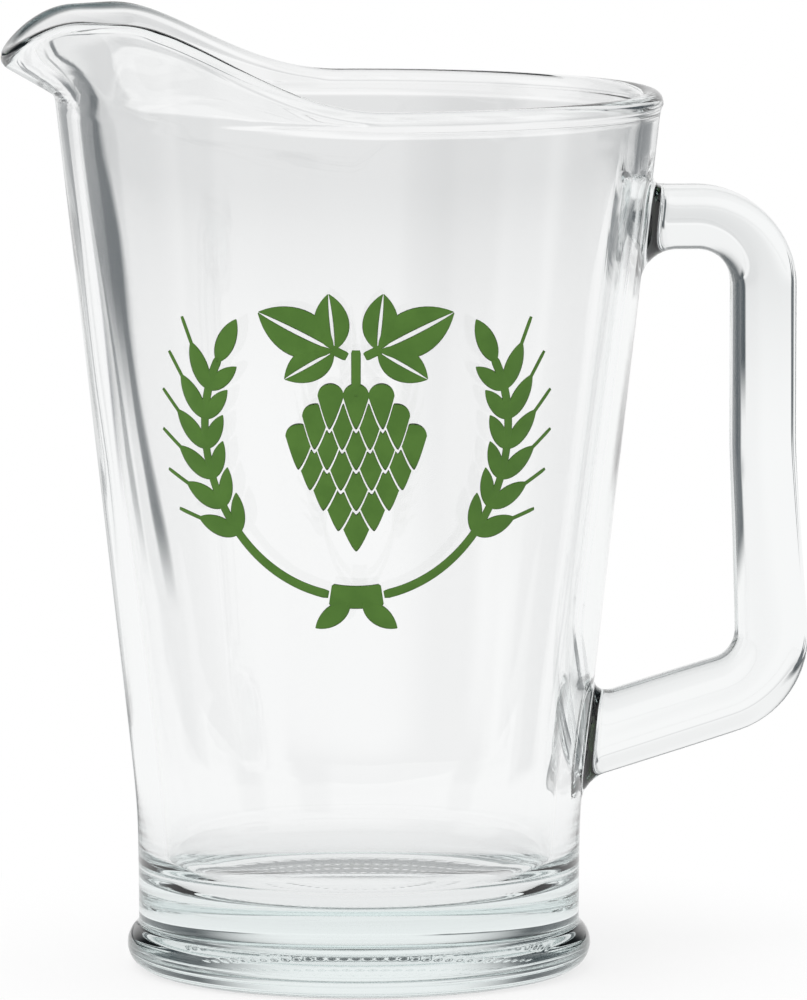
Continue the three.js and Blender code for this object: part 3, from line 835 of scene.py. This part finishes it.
def scale_span(u, row, scale):
    """Lower and upper edge of what the two rows above leave free of a scale."""
    middle, half, _ = scale
    round_top = np.sqrt(np.clip(1 - ((u - middle) / half) ** 2, 0, 1))
    high = CONE_TOP - row * SCALE_PITCH + SCALE_RISE * round_top
    for upper in range(max(row - 2, 0), row):
        for other in row_scales(upper):
            high = np.minimum(high, lower_edge(u, upper, other) - SCALE_LINE)
    return lower_edge(u, row, scale), high


def scale_film(row, scale):
    """Film of one scale, ruled upright between its two edges."""
    middle, half, _ = scale
    whole = np.linspace(middle - 0.999 * half, middle + 0.999 * half, 400)
    low, high = scale_span(whole, row, scale)
    free = whole[high > low]
    steps = 0.5 - 0.5 * np.cos(np.linspace(0, np.pi, SCALE_STEPS))
    u = blend(free[0], free[-1], steps)
    low, high = scale_span(u, row, scale)
    upright = np.broadcast_to([0, 1], (SCALE_STEPS, 2))
    return film_rings(np.stack([u, (low + high) / 2], 1), upright, (high - low) / 2)


def hop_cone_films():
    """Stem and all scales of the hop cone."""
    stem = np.stack([np.zeros(16), np.linspace(CONE_TOP + STEM_LENGTH, CONE_TOP, 16)], 1)
    films = [strip_film(stem, STALK_WIDTH)]
    for row in range(len(SCALE_COUNTS)):
        films += [scale_film(row, scale) for scale in row_scales(row)]
    return films


# %% Hop leaves
LEAF_LENGTH = 19.5
LEAF_WIDTH = 13
LEAF_ANGLE = 27
LEAF_STALK_LENGTH = 3.2
LEAF_DROP = 1.6
LOBE_SPREAD = 58
SIDE_LOBE_SHARE = 0.7


def hop_leaf_films(side):
    """Stalk and three lobes of one leaf, beside the cone's stem."""
    def lobe_angle(turn):
        return math.radians(turn) if side > 0 else math.radians(180 - turn)

    middle = lobe_angle(LEAF_ANGLE)
    way = np.array([math.cos(middle), math.sin(middle)])
    clear = STALK_WIDTH / 2 * (1 + math.sin(math.radians(LEAF_ANGLE))) + PRINT_GAP
    root = np.array([side * clear, CONE_TOP + STEM_LENGTH - LEAF_DROP])
    stalk = root + np.linspace(0, LEAF_STALK_LENGTH + STALK_WIDTH / 2, 8)[:, None] * way
    films = [strip_film(stalk, STALK_WIDTH)]
    for turn, size in ((0, 1), (LOBE_SPREAD, SIDE_LOBE_SHARE), (-LOBE_SPREAD, SIDE_LOBE_SHARE)):
        angle = lobe_angle(LEAF_ANGLE + turn)
        lobe_root = root + LEAF_STALK_LENGTH * way
        films += blade_films(lobe_root, angle, LEAF_LENGTH * size, LEAF_WIDTH * size, veined=True)
    return films


# %% Print pieces
print_pieces = [
    add_films("print_barley_left", "enamel_barley_left", barley_films(-1)),
    add_films("print_barley_right", "enamel_barley_right", barley_films(1)),
    add_films("print_hop_cone", "enamel_hop_cone", hop_cone_films()),
    add_films("print_hop_leaf_left", "enamel_hop_leaf_left", hop_leaf_films(-1)),
    add_films("print_hop_leaf_right", "enamel_hop_leaf_right", hop_leaf_films(1)),
    add_films("print_tie", "enamel_tie", tie_films()),
]

# %% [markdown]
# ## Shader maths
#
# A material is a small program of nodes. Wiring nodes by hand hides the idea, so one class wraps a socket
# and lets ordinary operators add the Math nodes: `1 - mask * 0.5` reads as what it does.

# %% Socket wrapper
class Graph:
    """A node tree that adds nodes: type, settings first, then socket values or links."""

    def __init__(self, owner):
        owner.use_nodes = True
        self.tree = owner.node_tree
        self.tree.nodes.clear()

    def node(self, kind, settings=None, output=0, **sockets):
        node = self.tree.nodes.new(kind)
        for name, value in (settings or {}).items():
            setattr(node, name, value)
        for name, value in sockets.items():
            key = name.replace("_", " ")
            socket = node.inputs[int(key[1:])] if key[0] == "i" and key[1:].isdigit() else node.inputs[key]
            if isinstance(value, Link):
                self.tree.links.new(value.socket, socket)
            else:
                socket.default_value = value
        return Link(self, node.outputs[output]) if node.outputs else node


class Link:
    """A socket that can be added, multiplied and so on; each operator adds one Math node."""

    def __init__(self, graph, socket):
        self.graph = graph
        self.socket = socket

    def maths(self, operation, *values):
        sockets = {f"i{number}": value for number, value in enumerate(values)}
        return self.graph.node("ShaderNodeMath", {"operation": operation}, **sockets)

    def __add__(self, other):
        return self.maths("ADD", self, other)

    def __radd__(self, other):
        return self.maths("ADD", other, self)

    def __sub__(self, other):
        return self.maths("SUBTRACT", self, other)

    def __rsub__(self, other):
        return self.maths("SUBTRACT", other, self)

    def __mul__(self, other):
        return self.maths("MULTIPLY", self, other)

    def __rmul__(self, other):
        return self.maths("MULTIPLY", other, self)

    def maximum(self, other):
        return self.maths("MAXIMUM", self, other)

    def sibling(self, name):
        return Link(self.graph, self.socket.node.outputs[name])

    def smooth(self, start, end):
        settings = {"interpolation_type": "SMOOTHSTEP"}
        return self.graph.node("ShaderNodeMapRange", settings, Value=self, From_Min=start, From_Max=end)


# %% [markdown]
# ## Clear glass
#
# Soda-lime glass bends light by an index of about 1.52 and is faintly grey-green where the light's path
# through it is long, as in the foot. That tint is an absorption in the volume, so thin walls stay clear.
# Only the spout's lip gets painted shade in its surface colour, where its points are marked for it.
# Pressed glass is never quite flat: a slow, shallow waviness bends the lines seen through it, and the fire
# polish varies a little. The waves stop above the foot, so that the marks under it stay sharp.

# %% Glass material
GLASS_INDEX = 1.52
GLASS_TINT = (0.76, 0.9, 0.89, 1)
GLASS_DENSITY = 4
WAVES_FROM = 0.03
WAVES_TO = 0.07
WAVE_SCALE = 38
WAVE_STRETCH = 0.35
WAVE_DEPTH = 0.0006
WAVE_STRENGTH = 0.35
POLISH_SCALE = 90
POLISH_ROUGHNESS = 0.012
WHITE = (1, 1, 1, 1)
LIP_PAINTED_SHADE = (0.03, 0.045, 0.048, 1)


def make_glass():
    material = bpy.data.materials.new("clear_pressed_glass")
    graph = Graph(material)
    place = graph.node("ShaderNodeTexCoord").sibling("Object")
    stretched = graph.node("ShaderNodeMapping", Vector=place, Scale=(1, 1, WAVE_STRETCH))
    waves = graph.node("ShaderNodeTexNoise", Vector=stretched, Scale=WAVE_SCALE, Detail=1)
    above_foot = graph.node("ShaderNodeSeparateXYZ", Vector=place).sibling("Z").smooth(WAVES_FROM, WAVES_TO)
    polish = graph.node("ShaderNodeTexNoise", Vector=place, Scale=POLISH_SCALE, Detail=2)
    height = waves * above_foot
    bump = graph.node("ShaderNodeBump", Height=height, Distance=WAVE_DEPTH, Strength=WAVE_STRENGTH)
    # The lip's marked points darken the glass's surface colour: painted shade for light that runs along the
    # lip.
    depth = graph.node("ShaderNodeAttribute", {"attribute_name": "lip_painted_shade"}).sibling("Fac")
    colour = graph.node(
        "ShaderNodeMix",
        {"data_type": "RGBA"},
        output=2,
        i0=depth,
        i6=WHITE,
        i7=LIP_PAINTED_SHADE,
    )
    surface = graph.node(
        "ShaderNodeBsdfPrincipled",
        Base_Color=colour,
        Roughness=polish * POLISH_ROUGHNESS,
        Normal=bump,
        IOR=GLASS_INDEX,
        Transmission_Weight=1,
    )
    volume = graph.node("ShaderNodeVolumeAbsorption", Color=GLASS_TINT, Density=GLASS_DENSITY)
    graph.node("ShaderNodeOutputMaterial", Surface=surface, Volume=volume)
    return material


pitcher_glass.data.materials.clear()
pitcher_glass.data.materials.append(make_glass())
print("glass index", GLASS_INDEX)

# %% [markdown]
# ## Green enamel
#
# Fired enamel is opaque and satin, with a slight orange-peel surface and small changes of density where
# the screen laid down more or less paste. It mirrors less than bare glass does, which keeps its green deep.

# %% Enamel material
ENAMEL_GREEN = (0.072, 0.166, 0.025, 1)
ENAMEL_DEEP = (0.062, 0.148, 0.021, 1)
ENAMEL_SHINE = 0.2
ENAMEL_ROUGHNESS = 0.32
PASTE_SCALE = 160
PEEL_SCALE = 900
PEEL_DEPTH = 0.00006
PEEL_STRENGTH = 0.5
PEEL_ROUGHNESS = 0.16


def make_enamel():
    material = bpy.data.materials.new("green_fired_enamel")
    graph = Graph(material)
    place = graph.node("ShaderNodeTexCoord").sibling("Object")
    density = graph.node("ShaderNodeTexNoise", Vector=place, Scale=PASTE_SCALE, Detail=3)
    peel = graph.node("ShaderNodeTexNoise", Vector=place, Scale=PEEL_SCALE, Detail=2)
    colour = graph.node(
        "ShaderNodeMix",
        {"data_type": "RGBA"},
        output=2,
        i0=density.smooth(0.35, 0.65),
        i6=ENAMEL_DEEP,
        i7=ENAMEL_GREEN,
    )
    bump = graph.node("ShaderNodeBump", Height=peel, Distance=PEEL_DEPTH, Strength=PEEL_STRENGTH)
    surface = graph.node(
        "ShaderNodeBsdfPrincipled",
        Base_Color=colour,
        Roughness=ENAMEL_ROUGHNESS + peel * PEEL_ROUGHNESS,
        Normal=bump,
        IOR=1.5,
        Specular_IOR_Level=ENAMEL_SHINE,
    )
    graph.node("ShaderNodeOutputMaterial", Surface=surface)
    return material


enamel = make_enamel()
for piece in print_pieces:
    piece.data.materials.append(enamel)
print("enamel on", len(print_pieces), "pieces")

# %% [markdown]
# ## The studio
#
# Clear glass has no colour of its own: its drawing is the studio, bent. The walls show what lies straight
# behind them, so that has to be white. Curved edges bend light sideways and show what lies beside it: where
# a dark flag stands there, the edge gets a dark line. The foot is solid glass and mirrors in its own
# underside, so it shows the backdrop above the table's far edge. Everything is told by direction: wedges
# of the compass round the pitcher, each with a middle, a half width and a soft edge.

# %% Wedges of the studio
HORIZON_WEDGES = [(8, 16, 4), (-90, 6, 3), (135, 6, 3)]
BACKDROP_WEDGES = [(3, 24, 14), (-92, 16, 6), (155, 60, 15)]


def wedge_mask(graph, way, wedges):
    """1 inside any wedge and 0 outside: the cosine of the angle to each wedge's middle, stepped smoothly.

    A wedge's middle is its turn from +Y towards +X. All three numbers are degrees."""
    level = graph.node("ShaderNodeVectorMath", {"operation": "MULTIPLY"}, i0=way, i1=(1, 1, 0))
    level = graph.node("ShaderNodeVectorMath", {"operation": "NORMALIZE"}, i0=level)
    dot = {"operation": "DOT_PRODUCT"}
    mask = 0
    for turn, half, soft in wedges:
        middle = (math.sin(math.radians(turn)), math.cos(math.radians(turn)), 0)
        facing = graph.node("ShaderNodeVectorMath", dot, output=1, i0=level, i1=middle)
        inside = facing.smooth(math.cos(math.radians(half + soft)), math.cos(math.radians(half - soft)))
        mask = inside.maximum(mask)
    return mask


def glass_rays(graph):
    """1 for the rays that reach the studio by way of the glass, either mirrored or bent."""
    ray = graph.node("ShaderNodeLightPath")
    return ray.sibling("Is Glossy Ray").maximum(ray.sibling("Is Transmission Ray"))


# %% [markdown]
# ### The table
#
# The picture's ground is pure white, so the table shows white to the camera. Close to the foot it is partly
# a plain matte surface, which keeps a soft contact shadow. Through the glass it is white too, a little
# shaded at the foot and again from one metre to four, but for the dark flags that stand on it. A flag is a
# wedge that starts at some distance and is full at another. The first four flags make the streak down the
# left wall, the next two the lines of the right wall and the handle, and the last three do the same for the
# other sides. One more strip only mirrors: it draws the thin line along the left edge.

# %% Table
TABLE_HALF = 8
CONTACT_COLOUR = (0.93, 0.93, 0.93, 1)
CONTACT_WHITE = 0.75
SHADOW_FROM = 0.07
SHADOW_TO = 0.17
TABLE_LEVEL = 0.94
FOOT_SHADE = 0.1
FOOT_SHADE_FROM = 0.06
FOOT_SHADE_TO = 0.25
FAR_SHADE = 0.2
FAR_SHADE_FROM = 1.1
FAR_SHADE_TO = 2.2
FAR_CLEAR_FROM = 3.3
FAR_CLEAR_TO = 4.3
FLAG_COLOUR = (0.085, 0.1, 0.11, 1)
FLAGS = [
    (-14, 5.5, 1, 0.8, 1.3),
    (-9.6, 0.8, 0.7, 0.55, 0.75),
    (-18, 1.5, 0.8, 0.55, 0.75),
    (-53, 14, 2, 0.52, 0.75),
    (34, 6, 2, 1.25, 1.5),
    (58, 20, 3, 0.95, 1.15),
    (-108, 8, 3, 0.35, 0.5),
    (113, 8, 5, 0.3, 0.45),
    (157, 8, 5, 0.3, 0.45),
]
EDGE_WEDGE = (-10, 13, 2)
EDGE_SHADE = 0.5
EDGE_FROM = 0.12
EDGE_FULL = 0.25
EDGE_FADE = 0.7
EDGE_END = 1.6


def flag_mask(graph, place, distance):
    """1 on the dark flags and 0 elsewhere. They show through the glass but don't mirror in its outside."""
    mask = 0
    for turn, half, soft, start, full in FLAGS:
        flag = wedge_mask(graph, place, [(turn, half, soft)]) * distance.smooth(start, full)
        mask = flag.maximum(mask)
    return mask * graph.node("ShaderNodeLightPath").sibling("Is Transmission Ray")


def edge_mask(graph, place, distance):
    """1 on a strip that only mirrors: it lines the left edge of the wall, where light grazes the glass."""
    strip = wedge_mask(graph, place, [EDGE_WEDGE]) * distance.smooth(EDGE_FROM, EDGE_FULL)
    near = 1 - distance.smooth(EDGE_FADE, EDGE_END)
    ray = graph.node("ShaderNodeLightPath")
    return strip * near * ray.sibling("Is Glossy Ray") * (1 - ray.sibling("Is Transmission Ray"))


def make_table_material():
    material = bpy.data.materials.new("white_table")
    graph = Graph(material)
    place = graph.node("ShaderNodeTexCoord").sibling("Object")
    distance = graph.node("ShaderNodeVectorMath", {"operation": "LENGTH"}, output=1, i0=place)
    shown = graph.node("ShaderNodeLightPath").sibling("Is Camera Ray")
    clear = distance.smooth(SHADOW_FROM, SHADOW_TO)
    level = TABLE_LEVEL - FOOT_SHADE * (1 - distance.smooth(FOOT_SHADE_FROM, FOOT_SHADE_TO))
    far = distance.smooth(FAR_SHADE_FROM, FAR_SHADE_TO) - distance.smooth(FAR_CLEAR_FROM, FAR_CLEAR_TO)
    level = level - FAR_SHADE * far
    level = level * (1 - EDGE_SHADE * edge_mask(graph, place, distance))
    lit = level * (1 - flag_mask(graph, place, distance))
    matte = graph.node("ShaderNodeBsdfDiffuse", Color=CONTACT_COLOUR)
    white = graph.node("ShaderNodeEmission", Color=WHITE, Strength=1)
    dark = graph.node("ShaderNodeEmission", Color=FLAG_COLOUR, Strength=1)
    plain = graph.node(
        "ShaderNodeMixShader",
        i0=shown * (CONTACT_WHITE + clear * (1 - CONTACT_WHITE)),
        i1=matte,
        i2=white,
    )
    through = graph.node("ShaderNodeMixShader", i0=lit, i1=dark, i2=white)
    surface = graph.node("ShaderNodeMixShader", i0=glass_rays(graph), i1=plain, i2=through)
    graph.node("ShaderNodeOutputMaterial", Surface=surface)
    return material


table_mesh = bpy.data.meshes.new("table")
table_corners = TABLE_HALF * np.array([(-1, -1, 0), (1, -1, 0), (1, 1, 0), (-1, 1, 0)])
table_mesh.from_pydata(table_corners.tolist(), [], [(0, 1, 2, 3)])
table = bpy.data.objects.new("table", table_mesh)
bpy.context.scene.collection.objects.link(table)
table.data.materials.append(make_table_material())
print("table reaches", TABLE_HALF, "m each way")

# %% [markdown]
# ### The backdrop
#
# Above the table's edge the backdrop widens out, and it fades towards the ceiling. The camera sees plain
# white, and matte surfaces such as the print get an even light.

# %% Backdrop
EVEN_LIGHT = 0.95
BACKDROP_RISE = 0.05
BACKDROP_LEVEL = 0.9
OVERHEAD_FROM = 0.48
OVERHEAD_TO = 0.65
OVERHEAD_LEVEL = 0.1
STUDIO_DARK = (0.055, 0.068, 0.075, 1)


def make_world():
    world = bpy.data.worlds.new("studio")
    graph = Graph(world)
    way = graph.node("ShaderNodeTexCoord").sibling("Generated")
    height = graph.node("ShaderNodeSeparateXYZ", Vector=way).sibling("Z")
    narrow = wedge_mask(graph, way, HORIZON_WEDGES)
    wide = wedge_mask(graph, way, BACKDROP_WEDGES)
    widened = narrow + (wide - narrow) * height.smooth(0, BACKDROP_RISE)
    overhead = height.smooth(OVERHEAD_FROM, OVERHEAD_TO)
    lit = widened * BACKDROP_LEVEL * (1 - overhead) + overhead * OVERHEAD_LEVEL
    shown = graph.node("ShaderNodeLightPath").sibling("Is Camera Ray")
    white = graph.node("ShaderNodeBackground", Color=WHITE, Strength=1)
    dark = graph.node("ShaderNodeBackground", Color=STUDIO_DARK, Strength=1)
    even = graph.node("ShaderNodeBackground", Color=WHITE, Strength=EVEN_LIGHT)
    studio = graph.node("ShaderNodeMixShader", i0=lit, i1=dark, i2=white)
    unseen = graph.node("ShaderNodeMixShader", i0=glass_rays(graph), i1=even, i2=studio)
    surface = graph.node("ShaderNodeMixShader", i0=shown, i1=unseen, i2=white)
    graph.node("ShaderNodeOutputWorld", Surface=surface)
    return world


bpy.context.scene.world = make_world()
bpy.context.scene.cycles.max_bounces = 24
bpy.context.scene.cycles.transmission_bounces = 24
bpy.context.scene.cycles.glossy_bounces = 12
print("studio:", len(FLAGS), "flags and", len(BACKDROP_WEDGES), "backdrop wedges")

# %% [markdown]
# ### The lamp
#
# One large soft lamp from the upper left gives the print and the table their soft shading. The glass
# neither mirrors nor bends it, so that it leaves no square highlight on the wall.

# %% Lamp
LAMP_SIZE = 1.2
LAMP_POWER = 10
LAMP_PLACE = (-0.7, -0.9, 1.5)

lamp_data = bpy.data.lights.new("soft_box", "AREA")
lamp_data.shape = "RECTANGLE"
lamp_data.size = LAMP_SIZE
lamp_data.size_y = LAMP_SIZE
lamp_data.energy = LAMP_POWER
lamp = bpy.data.objects.new("soft_box", lamp_data)
lamp.location = LAMP_PLACE
lamp.rotation_euler = lamp.location.to_track_quat("Z", "Y").to_euler()
lamp.visible_glossy = False
lamp.visible_transmission = False
bpy.context.scene.collection.objects.link(lamp)
print("lamp at", tuple(round(c, 2) for c in lamp.location))
